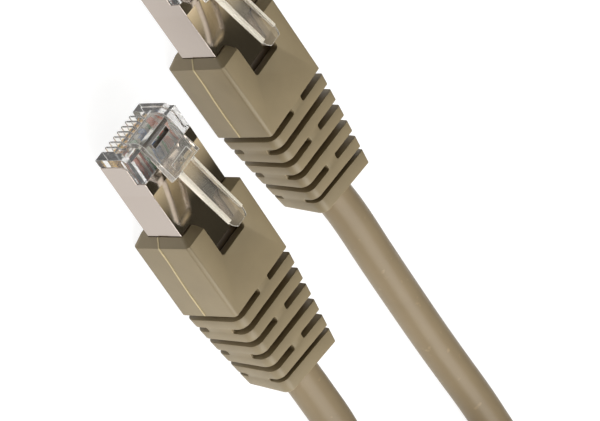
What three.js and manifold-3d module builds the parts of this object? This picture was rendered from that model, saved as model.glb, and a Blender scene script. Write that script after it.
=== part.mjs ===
// Ethernet patch cable: one round cord with a shielded 8-way modular plug and a moulded boot at each end.
// Millimetres, +Z up, standing on the undersides of the two boots, with the loose cord coiled flat.
// A plug is built in its own frame: X runs back from the nose, Y across, Z up, PLUG_LIFT above the floor.
import * as THREE from "three";
import { mergeVertices } from "three/addons/utils/BufferGeometryUtils.js";
import Module from "manifold-3d";

// The cord
const CORD_RADIUS = 2.9;
const CORD_HEIGHT = 5.3; // axis of the cord in the plug's frame
const PLUG_LIFT = 0.5;
const FACE_GAP = 0.3; // between the cord's lengths and the faces that they meet
const FIT_GAP = 0.05; // between assembled pieces

// Plug body, after the standard 8-way plug: contacts on a 1.016 pitch, 21.5 long
const PITCH = 1.016;
const WAYS = 8;
const BODY_LENGTH = 21.1;
const NOSE_HALF_WIDTH = 5.66;
const NOSE_LENGTH = 4.36;
const NOSE_BOTTOM = 2.4;
const NOSE_TOP = 9.2;
const NOSE_SET_BACK = 0.45; // the upper front edge stands back behind a short slope
const NOSE_SLOPE_FROM = 7.5;
const NOSE_SLOPE_TO = 8.2;
const FRONT_WALL = 1.1;
const COMB_SLOT_WIDTH = 0.66;
const COMB_SLOT_TOP = 4.8;
const COMB_LENGTH = 5;

// Bay where the wires lie over the contacts
const WIRE_RADIUS = 0.45;
const WIRE_HEIGHT = 6.55;
const BAY_HALF_WIDTH = 4.25;
const BAY_FLOOR = 6;
const BAY_ROOF = 7.15;
const LOAD_BAR_FRONT = 5.3;
const LOAD_BAR_LENGTH = 3.9;
const LOAD_BAR_BOTTOM = 5.55;
const LOAD_BAR_TOP = 7.55;
const BUNDLE_PITCH = 0.56;
const BUNDLE_RISE = 0.5;
const BUNDLE_FROM = 10.6;
const BUNDLE_TO = 19.5;

// Metal shell round the body, and the crimp ferrule behind it
const SHEET = 0.25;
const SHELL_FRONT = 1.33;
const SHELL_REAR = 21.5;
const SHELL_HALF_WIDTH = 5.8;
const SHELL_BOTTOM = 2.55;
const SHELL_TOP = 9.05;
const SHELL_TOP_FRONT = 4.42;
const SHELL_SIDE_STEP = 7.4;
const SHELL_BOTTOM_FRONT = 8.6;
const FERRULE_RADIUS = 3.55;
const FERRULE_REAR = 27.4;
const BRAID_RADIUS = 3.2;
const JACKET_FRONT = 21.9;

// Latch lever
const HINGE_X = 0.86;
const HINGE_Z = 9.3;
const HINGE_RADIUS = 0.36;
const WINDOW = [0.86, 1.58]; // slot that lets the lever bend at its root
const WINDOW_HALF_WIDTH = 1.84;
const LATCH_HALF_WIDTH = 3.03;
const TAIL_HALF_WIDTH = 1.69;
const SHOULDER_X = 6.05;
const TAIL_RIBS_END = 15.4;
const TAIL_END = 16.9;
const LATCH_POCKET_FLOOR = 8.82;

// Boot: a block round the plug's rear, then a slotted strain relief that tapers and twists a little
const BOOT_FRONT = 14.13;
const BOOT_BEVEL = 1.12;
const BLOCK_REAR = 28.37;
const BOOT_REAR = 44.6;
const BOOT_HALF_WIDTH = 7.05;
const BOOT_BOTTOM = -PLUG_LIFT;
const BOOT_TOP = 10.5;
const BLOCK_CORNERS = [0.35, 0.5, 0.35, 0.35]; // radii, going round from the top far corner
const BLOCK_REAR_CORNERS = [0.4, 0.9, 0.8, 0.6];
const RELIEF_CORNERS = [0.5, 1.6, 1.4, 0.8];
const RELIEF_FRONT_HALF = [7, 5.35]; // half the width and height at the block
const RELIEF_REAR_HALF = [5.3, 5.07];
const RELIEF_MIDDLE = 5.12;
const RELIEF_TWIST = THREE.MathUtils.degToRad(9);
const RELIEF_SLOTS = 6;
const SLOT_PITCH = 2.68;
const SLOT_WIDTH = 1.06;
const LAST_SLOT_WIDTH = 0.72;
const CORE_HALF = [4.1, 3.8];
const TOP_BRIDGE = 2.4;
const SIDE_BRIDGE = 4.8;
const NOTCH_HALF_WIDTH = 2.97;
const NOTCH_FLARE = 0.5;
const NOTCH_REAR = 20.6;
const NOTCH_CORNER = 0.5;

// Where each plug lies, and how far it is turned about Z
const PLUGS = {
  a: { at: [-15.573, -10.995], turn: 0 },
  b: { at: [-28.773, 10.255], turn: THREE.MathUtils.degToRad(1.6) },
};

// The coil: loops that spiral in on the upper layer and out again on the lower one
const COIL_CENTRE = [93.2, -17.8];
const COIL_OUTER = 33;
const COIL_PITCH = 6.4;
const COIL_LAYER_STEP = 6.35;
const COIL_TURNS_PER_LAYER = 1.6;
const COIL_END_ANGLE = 92;
const COIL_LEAD = 2 * CORD_RADIUS;
const FLOOR_HEIGHT = CORD_RADIUS + 0.05;

const wasm = await Module();
wasm.setup();

function plastic(color, roughness, extra = {}) {
  return new THREE.MeshStandardMaterial({ color, roughness, metalness: 0, ...extra });
}

function metal(color, roughness) {
  return new THREE.MeshStandardMaterial({ color, roughness, metalness: 1 });
}

const clearPlastic = () => plastic(0xe6e4df, 0.08, { transparent: true, opacity: 0.4 });
const bootVinyl = () => plastic(0x9a8a70, 0.5);
const jacketVinyl = () => plastic(0x9c8c74, 0.42);
const WIRE_COLOURS = [0xe9dccb, 0xd9772c, 0xdfe7d6, 0x2f66b0, 0xdde3ec, 0x3f8a4b, 0xe7dcd2, 0x6f3a22];

function solidOf(geometry) {
  const bare = geometry.clone();
  bare.deleteAttribute("normal");
  bare.deleteAttribute("uv");
  const merged = mergeVertices(bare, 1e-4);
  return new wasm.Manifold(
    new wasm.Mesh({
      numProp: 3,
      vertProperties: merged.attributes.position.array,
      triVerts: new Uint32Array(merged.index.array),
    }),
  );
}

function geometryOf(solid) {
  const mesh = solid.getMesh();
  const geometry = new THREE.BufferGeometry();
  geometry.setAttribute("position", new THREE.BufferAttribute(mesh.vertProperties, 3));
  geometry.setIndex(new THREE.BufferAttribute(mesh.triVerts, 1));
  geometry.computeVertexNormals();
  return geometry;
}

function piece(name, shape, material) {
  const geometry = shape.isBufferGeometry ? shape : geometryOf(shape);
  const mesh = new THREE.Mesh(geometry, material);
  mesh.name = name;
  return mesh;
}

function box([x0, x1], [y0, y1], [z0, z1]) {
  const geometry = new THREE.BoxGeometry(x1 - x0, y1 - y0, z1 - z0);
  geometry.translate((x0 + x1) / 2, (y0 + y1) / 2, (z0 + z1) / 2);
  return solidOf(geometry);
}

// A side view, as [x, z] points, carried across from y0 to y1.
function profile(points, [y0, y1]) {
  const shape = new THREE.Shape(points.map(([x, z]) => new THREE.Vector2(x, z)));
  const geometry = new THREE.ExtrudeGeometry(shape, { depth: y1 - y0, bevelEnabled: false });
  geometry.rotateX(Math.PI / 2);
  geometry.translate(0, y1, 0);
  return solidOf(geometry);
}

// A plan view, as [x, y] points, carried up from z0 to z1.
function plan(points, [z0, z1]) {
  const shape = new THREE.Shape(points.map(([x, y]) => new THREE.Vector2(x, y)));
  const geometry = new THREE.ExtrudeGeometry(shape, { depth: z1 - z0, bevelEnabled: false });
  geometry.translate(0, 0, z0);
  return solidOf(geometry);
}

// A round bar along X at height z.
function bar(radius, [x0, x1], z, sides = 24) {
  const geometry = new THREE.CylinderGeometry(radius, radius, x1 - x0, sides);
  geometry.rotateZ(Math.PI / 2);
  geometry.translate((x0 + x1) / 2, 0, z);
  return solidOf(geometry);
}

function arc(cx, cz, radius, from, to, steps) {
  const points = [];
  for (let i = 0; i <= steps; i += 1) {
    const angle = THREE.MathUtils.degToRad(from + ((to - from) * i) / steps);
    points.push([cx + radius * Math.cos(angle), cz + radius * Math.sin(angle)]);
  }
  return points;
}

// A rounded rectangle across the plug at x, turned by twist about its middle.
function section({ x, half, middle, corners, twist = 0, steps = 4 }) {
  const [w, h] = half;
  const [r1, r2, r3, r4] = corners;
  const ring = [
    ...arc(w - r1, h - r1, r1, 0, 90, steps),
    ...arc(r2 - w, h - r2, r2, 90, 180, steps),
    ...arc(r3 - w, r3 - h, r3, 180, 270, steps),
    ...arc(w - r4, r4 - h, r4, 270, 360, steps),
  ];
  return ring.map(([y, z]) => {
    const turnedY = y * Math.cos(twist) - z * Math.sin(twist);
    const turnedZ = y * Math.sin(twist) + z * Math.cos(twist);
    return new THREE.Vector3(x, turnedY, middle + turnedZ);
  });
}

// One closed skin through rings of equal point counts that run along +X.
function skin(rings) {
  const count = rings[0].length;
  const positions = rings.flat().flatMap((p) => [p.x, p.y, p.z]);
  const index = [];
  for (let ring = 0; ring < rings.length - 1; ring += 1) {
    for (let i = 0; i < count; i += 1) {
      const a = ring * count + i;
      const b = ring * count + ((i + 1) % count);
      index.push(a, b, a + count, b, b + count, a + count);
    }
  }
  const last = (rings.length - 1) * count;
  for (let i = 1; i < count - 1; i += 1) {
    index.push(0, i + 1, i);
    index.push(last, last + i, last + i + 1);
  }
  const geometry = new THREE.BufferGeometry();
  geometry.setAttribute("position", new THREE.BufferAttribute(new Float32Array(positions), 3));
  geometry.setIndex(index);
  return geometry;
}

function wayY(way) {
  return ((WAYS - 1) / 2 - way) * PITCH;
}

// Clear body: solid nose with the comb of contact slots, wire bay behind, plainer rear inside the shell.
function housing() {
  const rearHalf = SHELL_HALF_WIDTH - SHEET - FIT_GAP;
  const rearTop = SHELL_TOP - SHEET - FIT_GAP;
  const nose = profile(
    [
      [0, NOSE_BOTTOM],
      [SHELL_BOTTOM_FRONT - FIT_GAP, NOSE_BOTTOM],
      [SHELL_BOTTOM_FRONT - FIT_GAP, SHELL_SIDE_STEP],
      [NOSE_LENGTH, SHELL_SIDE_STEP],
      [NOSE_LENGTH, NOSE_TOP],
      [NOSE_SET_BACK, NOSE_TOP],
      [NOSE_SET_BACK, NOSE_SLOPE_TO],
      [0, NOSE_SLOPE_FROM],
    ],
    [-NOSE_HALF_WIDTH, NOSE_HALF_WIDTH],
  );
  const rear = box(
    [NOSE_LENGTH - 1, BODY_LENGTH],
    [-rearHalf, rearHalf],
    [SHELL_BOTTOM + SHEET + FIT_GAP, rearTop],
  );
  let body = nose.add(rear);
  for (const side of [-1, 1]) {
    const outer = [side * rearHalf, side * (NOSE_HALF_WIDTH + 1)].sort((a, b) => a - b);
    body = body.subtract(
      profile(
        [
          [SHELL_FRONT - FIT_GAP, NOSE_BOTTOM - 1],
          [BODY_LENGTH, NOSE_BOTTOM - 1],
          [BODY_LENGTH, SHELL_SIDE_STEP + FIT_GAP],
          [SHELL_FRONT + 0.35, SHELL_SIDE_STEP + FIT_GAP],
          [SHELL_FRONT - FIT_GAP, SHELL_SIDE_STEP - 0.9],
        ],
        outer,
      ),
    );
  }
  const bayAcross = [-BAY_HALF_WIDTH, BAY_HALF_WIDTH];
  const bay = box([FRONT_WALL, LOAD_BAR_FRONT + 1], bayAcross, [BAY_FLOOR, BAY_ROOF]);
  const barSeat = box(
    [LOAD_BAR_FRONT - FIT_GAP, BODY_LENGTH + 1],
    [-BAY_HALF_WIDTH - 0.2, BAY_HALF_WIDTH + 0.2],
    [LOAD_BAR_BOTTOM - FIT_GAP, LOAD_BAR_TOP + FIT_GAP],
  );
  const rearBay = box([LOAD_BAR_FRONT + LOAD_BAR_LENGTH, BODY_LENGTH + 1], [-3.4, 3.4], [3.7, 7.6]);
  const pocket = box(
    [NOSE_SET_BACK - 1, NOSE_LENGTH + 1],
    [-LATCH_HALF_WIDTH - 0.12, LATCH_HALF_WIDTH + 0.12],
    [LATCH_POCKET_FLOOR, NOSE_TOP + 1],
  );
  body = body.subtract(bay).subtract(barSeat).subtract(rearBay).subtract(pocket);
  for (let way = 0; way < WAYS; way += 1) {
    const across = [wayY(way) - COMB_SLOT_WIDTH / 2, wayY(way) + COMB_SLOT_WIDTH / 2];
    body = body.subtract(box([-1, COMB_LENGTH], across, [NOSE_BOTTOM - 1, COMB_SLOT_TOP]));
    body = body.subtract(box([0.7, COMB_LENGTH], across, [COMB_SLOT_TOP - 0.1, BAY_FLOOR + 0.1]));
  }
  const ledge = profile(
    [
      [0, 5.45],
      [0, 6],
      [-0.14, 5.9],
      [-0.14, 5.6],
    ],
    [-4.1, 4.1],
  );
  return body.add(ledge);
}

// Latch lever at rest: a round root in the nose, a wedge with two shoulders, and a ribbed tail.
function latch() {
  const root = arc(HINGE_X, HINGE_Z, HINGE_RADIUS, 100, 285, 8);
  const wedge = profile(
    [...root, [6.68, 10.52], [SHOULDER_X, 11.75], [3.5, 10.6]],
    [-LATCH_HALF_WIDTH, LATCH_HALF_WIDTH],
  );
  const window = box(WINDOW, [-WINDOW_HALF_WIDTH, WINDOW_HALF_WIDTH], [8, 12]);
  const plate = profile(
    [
      [5.6, 10.3],
      [6.68, 10.52],
      [11, 12.03],
      [TAIL_RIBS_END, 13.72],
      [TAIL_END, 14.42],
      [TAIL_END - 0.25, 14.72],
      [TAIL_RIBS_END, 14.2],
      [11, 12.5],
      [6.5, 11.05],
      [5.6, 10.9],
    ],
    [-TAIL_HALF_WIDTH, TAIL_HALF_WIDTH],
  );
  const roundEnd = plan(
    [
      [5, -TAIL_HALF_WIDTH],
      [TAIL_RIBS_END, -TAIL_HALF_WIDTH],
      ...arc(TAIL_RIBS_END, 0, TAIL_HALF_WIDTH - 0.01, -70, 70, 8),
      [TAIL_RIBS_END, TAIL_HALF_WIDTH],
      [5, TAIL_HALF_WIDTH],
    ],
    [9, 16],
  );
  const ribSide = [
    [5.8, 10.6],
    [6.5, 10.8],
    [11, 12.2],
    [TAIL_RIBS_END - 0.3, 13.8],
    [TAIL_RIBS_END, 14.1],
    [TAIL_RIBS_END - 0.1, 14.55],
    [11, 13.08],
    [SHOULDER_X + 0.25, 11.68],
    [5.8, 11.6],
  ];
  const ribWidth = 0.42;
  const left = profile(ribSide, [-TAIL_HALF_WIDTH, ribWidth - TAIL_HALF_WIDTH]);
  const right = profile(ribSide, [TAIL_HALF_WIDTH - ribWidth, TAIL_HALF_WIDTH]);
  return wedge.subtract(window).add(plate.intersect(roundEnd)).add(left).add(right);
}

// Folded metal shell: open in front, cut back over the nose, with the ferrule drawn from its rear wall.
function shell() {
  const half = SHELL_HALF_WIDTH;
  const outer = box([SHELL_FRONT, SHELL_REAR], [-half, half], [SHELL_BOTTOM, SHELL_TOP]);
  const inner = box(
    [SHELL_FRONT - 1, SHELL_REAR - SHEET],
    [SHEET - half, half - SHEET],
    [SHELL_BOTTOM + SHEET, SHELL_TOP - SHEET],
  );
  const overNose = profile(
    [
      [SHELL_FRONT - 1, SHELL_SIDE_STEP - 0.9],
      [SHELL_FRONT, SHELL_SIDE_STEP - 0.9],
      [SHELL_FRONT + 0.4, SHELL_SIDE_STEP],
      [SHELL_TOP_FRONT, SHELL_SIDE_STEP],
      [SHELL_TOP_FRONT, SHELL_TOP + 1],
      [SHELL_FRONT - 1, SHELL_TOP + 1],
    ],
    [-half - 1, half + 1],
  );
  const underNose = box([0, SHELL_BOTTOM_FRONT], [SHEET - half, half - SHEET], [0, SHELL_BOTTOM + SHEET]);
  const ferrule = bar(FERRULE_RADIUS, [SHELL_REAR - SHEET, FERRULE_REAR], CORD_HEIGHT);
  const bore = bar(BRAID_RADIUS + FIT_GAP, [SHELL_REAR - 1, FERRULE_REAR + 1], CORD_HEIGHT);
  return outer.subtract(inner).subtract(overNose).subtract(underNose).add(ferrule).subtract(bore);
}

// One gold blade: two tines up to its wire, contact edge down.
function contact(way) {
  const side = [
    [0.8, 4.7],
    [0.8, 3.35],
    [1.1, 3.05],
    [4.1, 3.05],
    [4.4, 3.35],
    [4.4, 5.1],
    [3.9, 5.95],
    [3.4, 5.1],
    [2.6, 5.1],
    [2.1, 5.95],
    [1.6, 5.1],
    [0.8, 5.1],
  ];
  const thickness = 0.34;
  return profile(side, [wayY(way) - thickness / 2, wayY(way) + thickness / 2]);
}

// One insulated wire: flat in the row over the contacts, then drawn into two rows at the cord.
function wire(way) {
  const side = way % 2 ? 1 : -1;
  const points = [];
  const spans = 6;
  for (const x of [FRONT_WALL + FIT_GAP, LOAD_BAR_FRONT, LOAD_BAR_FRONT + LOAD_BAR_LENGTH + FIT_GAP]) {
    points.push(new THREE.Vector3(x, wayY(way), WIRE_HEIGHT));
  }
  for (let i = 0; i <= spans; i += 1) {
    const share = i / spans;
    const eased = THREE.MathUtils.smoothstep(share, 0, 1);
    const x = BUNDLE_FROM + (BUNDLE_TO - BUNDLE_FROM) * share;
    const y = THREE.MathUtils.lerp(wayY(way), (wayY(way) / PITCH) * BUNDLE_PITCH, eased);
    const z = THREE.MathUtils.lerp(WIRE_HEIGHT, CORD_HEIGHT + side * BUNDLE_RISE, eased);
    points.push(new THREE.Vector3(x, y, z));
  }
  const last = points[points.length - 1];
  points.push(new THREE.Vector3(JACKET_FRONT - FACE_GAP, last.y, last.z));
  return sweep(points, WIRE_RADIUS, 8, 14);
}

// A round tube along a smooth curve through the points.
function sweep(points, radius, sides, steps) {
  const ring = [];
  for (let i = 0; i < sides; i += 1) {
    const angle = (2 * Math.PI * (i + 0.5)) / sides;
    ring.push(new THREE.Vector2(radius * Math.cos(angle), radius * Math.sin(angle)));
  }
  const path = new THREE.CatmullRomCurve3(points, false, "centripetal");
  return new THREE.ExtrudeGeometry(new THREE.Shape(ring), { steps, bevelEnabled: false, extrudePath: path });
}

function loadBar() {
  let bar8 = box(
    [LOAD_BAR_FRONT, LOAD_BAR_FRONT + LOAD_BAR_LENGTH],
    [-BAY_HALF_WIDTH, BAY_HALF_WIDTH],
    [LOAD_BAR_BOTTOM, LOAD_BAR_TOP],
  );
  for (let way = 0; way < WAYS; way += 1) {
    const hole = new THREE.CylinderGeometry(WIRE_RADIUS + 0.04, WIRE_RADIUS + 0.04, LOAD_BAR_LENGTH + 2, 8);
    hole.rotateZ(Math.PI / 2);
    hole.translate(LOAD_BAR_FRONT + LOAD_BAR_LENGTH / 2, wayY(way), WIRE_HEIGHT);
    bar8 = bar8.subtract(solidOf(hole));
  }
  return bar8;
}

function reliefShare(x) {
  return (x - BLOCK_REAR) / (BOOT_REAR - BLOCK_REAR);
}

function reliefHalf(x) {
  return [0, 1].map((i) => THREE.MathUtils.lerp(RELIEF_FRONT_HALF[i], RELIEF_REAR_HALF[i], reliefShare(x)));
}

// A piece about the cord's axis, turned as far as the strain relief is twisted at x.
function twisted(solid, x) {
  const degrees = THREE.MathUtils.radToDeg(RELIEF_TWIST * reliefShare(x));
  return solid.translate([0, 0, -CORD_HEIGHT]).rotate([degrees, 0, 0]).translate([0, 0, CORD_HEIGHT]);
}

// One slot round the core: odd ones leave bridges above and below, even ones leave them at the sides.
function reliefSlot(number) {
  const width = number === RELIEF_SLOTS - 1 ? LAST_SLOT_WIDTH : SLOT_WIDTH;
  const x0 = BLOCK_REAR + number * SLOT_PITCH;
  const span = [x0, x0 + width];
  const past = [x0 - 1, x0 + width + 1];
  const ring = box(span, [-9, 9], [CORD_HEIGHT - 9, CORD_HEIGHT + 9]);
  const [coreY, coreZ] = CORE_HALF;
  const core = box(past, [-coreY, coreY], [CORD_HEIGHT - coreZ, CORD_HEIGHT + coreZ]);
  const bridge = number % 2
    ? box(past, [-10, 10], [CORD_HEIGHT - SIDE_BRIDGE / 2, CORD_HEIGHT + SIDE_BRIDGE / 2])
    : box(past, [-TOP_BRIDGE / 2, TOP_BRIDGE / 2], [CORD_HEIGHT - 10, CORD_HEIGHT + 10]);
  return twisted(ring.subtract(core).subtract(bridge), x0 + width / 2);
}

function boot() {
  const middle = (BOOT_TOP + BOOT_BOTTOM) / 2;
  const halfHeight = (BOOT_TOP - BOOT_BOTTOM) / 2;
  const block = skin([
    section({
      x: BOOT_FRONT,
      half: [BOOT_HALF_WIDTH - BOOT_BEVEL, halfHeight - BOOT_BEVEL],
      middle,
      corners: BLOCK_CORNERS,
    }),
    section({
      x: BOOT_FRONT + BOOT_BEVEL,
      half: [BOOT_HALF_WIDTH, halfHeight],
      middle,
      corners: BLOCK_CORNERS,
    }),
    section({
      x: BLOCK_REAR,
      half: [RELIEF_FRONT_HALF[0], halfHeight],
      middle,
      corners: BLOCK_REAR_CORNERS,
    }),
  ]);
  const rings = [];
  const stations = 12;
  for (let i = 0; i <= stations; i += 1) {
    const x = THREE.MathUtils.lerp(BLOCK_REAR, BOOT_REAR, i / stations);
    const twist = RELIEF_TWIST * reliefShare(x);
    rings.push(section({ x, half: reliefHalf(x), middle: RELIEF_MIDDLE, corners: RELIEF_CORNERS, twist }));
  }
  let body = solidOf(block).add(solidOf(skin(rings)));
  for (let number = 0; number < RELIEF_SLOTS; number += 1) {
    body = body.subtract(reliefSlot(number));
  }
  const half = SHELL_HALF_WIDTH + FIT_GAP;
  const seat = box(
    [BOOT_FRONT - 1, SHELL_REAR + FIT_GAP],
    [-half, half],
    [SHELL_BOTTOM - FIT_GAP, SHELL_TOP + FIT_GAP],
  );
  const cornerX = NOTCH_REAR - NOTCH_CORNER;
  const cornerY = NOTCH_HALF_WIDTH - NOTCH_CORNER;
  const notch = plan(
    [
      [BOOT_FRONT - 1, -NOTCH_HALF_WIDTH - NOTCH_FLARE],
      [BOOT_FRONT, -NOTCH_HALF_WIDTH - NOTCH_FLARE],
      [BOOT_FRONT + BOOT_BEVEL, -NOTCH_HALF_WIDTH],
      ...arc(cornerX, -cornerY, NOTCH_CORNER, -90, 0, 4),
      ...arc(cornerX, cornerY, NOTCH_CORNER, 0, 90, 4),
      [BOOT_FRONT + BOOT_BEVEL, NOTCH_HALF_WIDTH],
      [BOOT_FRONT, NOTCH_HALF_WIDTH + NOTCH_FLARE],
      [BOOT_FRONT - 1, NOTCH_HALF_WIDTH + NOTCH_FLARE],
    ],
    [SHELL_TOP - 1, BOOT_TOP + 1],
  );
  const ferruleBore = bar(FERRULE_RADIUS + FIT_GAP, [SHELL_REAR - 1, FERRULE_REAR + FIT_GAP], CORD_HEIGHT);
  const cordBore = bar(CORD_RADIUS + FIT_GAP, [SHELL_REAR, BOOT_REAR + 1], CORD_HEIGHT);
  return body.subtract(seat).subtract(notch).subtract(ferruleBore).subtract(cordBore);
}

function plug(end) {
  const group = new THREE.Group();
  const add = (name, shape, material) => group.add(piece(`${name}_${end}`, shape, material));
  add("plug_housing", housing(), clearPlastic());
  add("latch_lever", latch(), clearPlastic());
  add("shield_shell", shell(), metal(0xd8d2cc, 0.12));
  add("load_bar", loadBar(), plastic(0xd9d6cf, 0.3));
  add("boot", boot(), bootVinyl());
  const inside = [SHELL_REAR + 0.6, FERRULE_REAR];
  const braid = bar(BRAID_RADIUS, inside, CORD_HEIGHT).subtract(
    bar(CORD_RADIUS + FIT_GAP, [inside[0] - 1, inside[1] + 1], CORD_HEIGHT),
  );
  add("folded_braid", braid, metal(0xb9b4aa, 0.4));
  add("jacket_end", bar(CORD_RADIUS, [JACKET_FRONT, BOOT_REAR], CORD_HEIGHT), jacketVinyl());
  for (let way = 0; way < WAYS; way += 1) {
    add(`contact_${way + 1}`, contact(way), metal(0xd8b25a, 0.25));
    add(`wire_${way + 1}`, wire(way), plastic(WIRE_COLOURS[way], 0.45));
  }
  const { at, turn } = PLUGS[end];
  group.position.set(at[0], at[1], PLUG_LIFT);
  group.rotation.z = turn;
  return group;
}

const COIL_TURNS = 2 * COIL_TURNS_PER_LAYER + 0.5;

// A point of the coil's centre line. It ends on the coil's +Y side, running towards -X.
function coilPoint(turns) {
  const inward = COIL_TURNS_PER_LAYER;
  const past = turns - inward;
  let radius = COIL_OUTER - COIL_PITCH * turns;
  if (past > 0.5) {
    radius = COIL_OUTER - COIL_PITCH * (inward - past + 0.5);
  } else if (past > 0) {
    radius = COIL_OUTER - COIL_PITCH * (inward + Math.sin(2 * Math.PI * past) / (2 * Math.PI));
  }
  const drop = COIL_LAYER_STEP * THREE.MathUtils.smoothstep(past, 0, 0.5);
  const angle = THREE.MathUtils.degToRad(COIL_END_ANGLE) + 2 * Math.PI * (turns - COIL_TURNS);
  return new THREE.Vector3(
    COIL_CENTRE[0] + radius * Math.cos(angle),
    COIL_CENTRE[1] + radius * Math.sin(angle),
    FLOOR_HEIGHT + COIL_LAYER_STEP - drop,
  );
}

// A point straight out from where the coil's line starts or ends.
const COIL_NUDGE = 0.001;

function coilLead(turns, inside, distance) {
  const last = coilPoint(turns);
  const out = last.clone().sub(coilPoint(inside));
  return last.add(out.setLength(distance));
}

const coilStart = (distance) => coilLead(0, COIL_NUDGE, distance);
const coilEnd = (distance) => coilLead(COIL_TURNS, COIL_TURNS - COIL_NUDGE, distance);

// The loops with a straight lead at each end.
function coilLine() {
  const steps = Math.round(COIL_TURNS * 24);
  const points = [];
  for (let i = 0; i <= steps; i += 1) {
    points.push(coilPoint((COIL_TURNS * i) / steps));
  }
  points.unshift(coilStart(COIL_LEAD));
  points.push(coilEnd(COIL_LEAD));
  return points;
}

// A six-sided tube: each ring lies square to the line and keeps one corner line on the coil's upper side.
function coil() {
  const line = coilLine();
  const sides = 6;
  const up = new THREE.Vector3(0, 0, 1);
  const rings = line.map((point, i) => {
    const ahead = line[Math.min(i + 1, line.length - 1)];
    const behind = line[Math.max(i - 1, 0)];
    const along = ahead.clone().sub(behind).normalize();
    const across = new THREE.Vector3().crossVectors(up, along).normalize();
    const above = new THREE.Vector3().crossVectors(along, across);
    const ring = [];
    for (let k = 0; k < sides; k += 1) {
      const angle = (2 * Math.PI * (k + 0.5)) / sides;
      const out = across.clone().multiplyScalar(CORD_RADIUS * Math.cos(angle));
      ring.push(out.addScaledVector(above, CORD_RADIUS * Math.sin(angle)).add(point));
    }
    return ring;
  });
  return skin(rings);
}

// Least gap of the coil to itself, on points along its centre line.
function leastGap() {
  const line = coilLine();
  const reach = 12; // steps along the line that still count as the same stretch
  let least = Infinity;
  for (let i = 0; i < line.length; i += 1) {
    for (let j = i + reach; j < line.length - 1; j += 1) {
      const step = new THREE.Line3(line[j], line[j + 1]);
      const near = step.closestPointToPoint(line[i], true, new THREE.Vector3());
      least = Math.min(least, near.distanceTo(line[i]) - 2 * CORD_RADIUS);
    }
  }
  return least;
}

// Where the cord leaves a boot, and a point further out along the plug's own X.
function exit(end, out) {
  const { at, turn } = PLUGS[end];
  const x = BOOT_REAR + out;
  return new THREE.Vector3(at[0] + x * Math.cos(turn), at[1] + x * Math.sin(turn), PLUG_LIFT + CORD_HEIGHT);
}

// The loose lengths, each from its boot to the coil, as points chosen by hand.
const CORD_A_ROUTE = [
  exit("a", FACE_GAP),
  new THREE.Vector3(36, -10.9, 5.8),
  new THREE.Vector3(43.6, -11.05, 5.9),
  new THREE.Vector3(50, -12.6, 6.7),
  new THREE.Vector3(55.6, -16.4, 8.2),
  coilStart(COIL_LEAD + 3.5),
  coilStart(COIL_LEAD + FACE_GAP),
];
const CORD_B_ROUTE = [
  exit("b", FACE_GAP),
  new THREE.Vector3(22, 11.9, 5.75),
  new THREE.Vector3(31, 12.35, 5.2),
  new THREE.Vector3(40, 13.2, 4.2),
  new THREE.Vector3(50, 14, 3.4),
  new THREE.Vector3(57, 14.5, 3.1),
  new THREE.Vector3(64, 14.9, FLOOR_HEIGHT + 0.05),
  new THREE.Vector3(74, 14.95, FLOOR_HEIGHT + 0.05),
  coilEnd(COIL_LEAD + 3.5),
  coilEnd(COIL_LEAD + FACE_GAP),
];

const cable = new THREE.Group();
cable.add(plug("a"), plug("b"));
cable.add(piece("cord_a", sweep(CORD_A_ROUTE, CORD_RADIUS, 10, 10), jacketVinyl()));
cable.add(piece("cord_b", sweep(CORD_B_ROUTE, CORD_RADIUS, 10, 14), jacketVinyl()));
cable.add(piece("cord_coil", coil(), jacketVinyl()));

console.log("least gap of the coil to itself:", leastGap().toFixed(2), "mm");

export default cable;
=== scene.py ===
"""Ethernet patch cable: the finished look of a cord with two clear modular plugs in moulded boots.

Laid out as a Blender 4.5 add-on and run as a script. Sizes are in millimetres in a plug's own
frame, where X runs back from the nose, Y across and Z up, with the floor half a millimetre below
zero, unless a comment gives another unit or frame.
"""

import math

import bmesh
import bpy
from bpy.props import FloatProperty, FloatVectorProperty, PointerProperty
from mathutils import Matrix, Vector


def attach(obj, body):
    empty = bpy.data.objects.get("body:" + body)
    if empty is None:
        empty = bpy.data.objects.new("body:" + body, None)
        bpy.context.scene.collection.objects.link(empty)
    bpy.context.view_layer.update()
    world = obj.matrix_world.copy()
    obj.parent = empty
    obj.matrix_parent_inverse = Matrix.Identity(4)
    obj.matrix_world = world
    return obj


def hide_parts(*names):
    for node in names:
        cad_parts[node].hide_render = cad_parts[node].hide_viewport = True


bl_info = {
    "name": "Ethernet patch cable",
    "version": (1, 0, 0),
    "blender": (4, 5, 0),
    "location": "View3D > Sidebar > Patch cable",
    "description": "Builds a network patch cable with two shielded plugs, boots and a coiled cord",
    "category": "Add Mesh",
}

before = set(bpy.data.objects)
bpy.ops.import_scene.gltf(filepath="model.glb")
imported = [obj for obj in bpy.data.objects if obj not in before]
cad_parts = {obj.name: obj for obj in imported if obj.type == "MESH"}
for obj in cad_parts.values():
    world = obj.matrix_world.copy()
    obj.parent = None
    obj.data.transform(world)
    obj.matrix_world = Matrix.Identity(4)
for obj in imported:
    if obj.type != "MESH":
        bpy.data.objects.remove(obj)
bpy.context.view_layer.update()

MM = 0.001
# Places closer than this are one place
NEAR = 0.01

# Where each plug lies in the part's frame, in metres, and how far it is turned about Z
PLUGS = {
    "a": Matrix.Translation((-0.015573, -0.010995, 0.0005)),
    "b": Matrix.Translation((-0.028773, 0.010255, 0.0005))
    @ Matrix.Rotation(math.radians(1.6), 4, "Z"),
}

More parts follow.
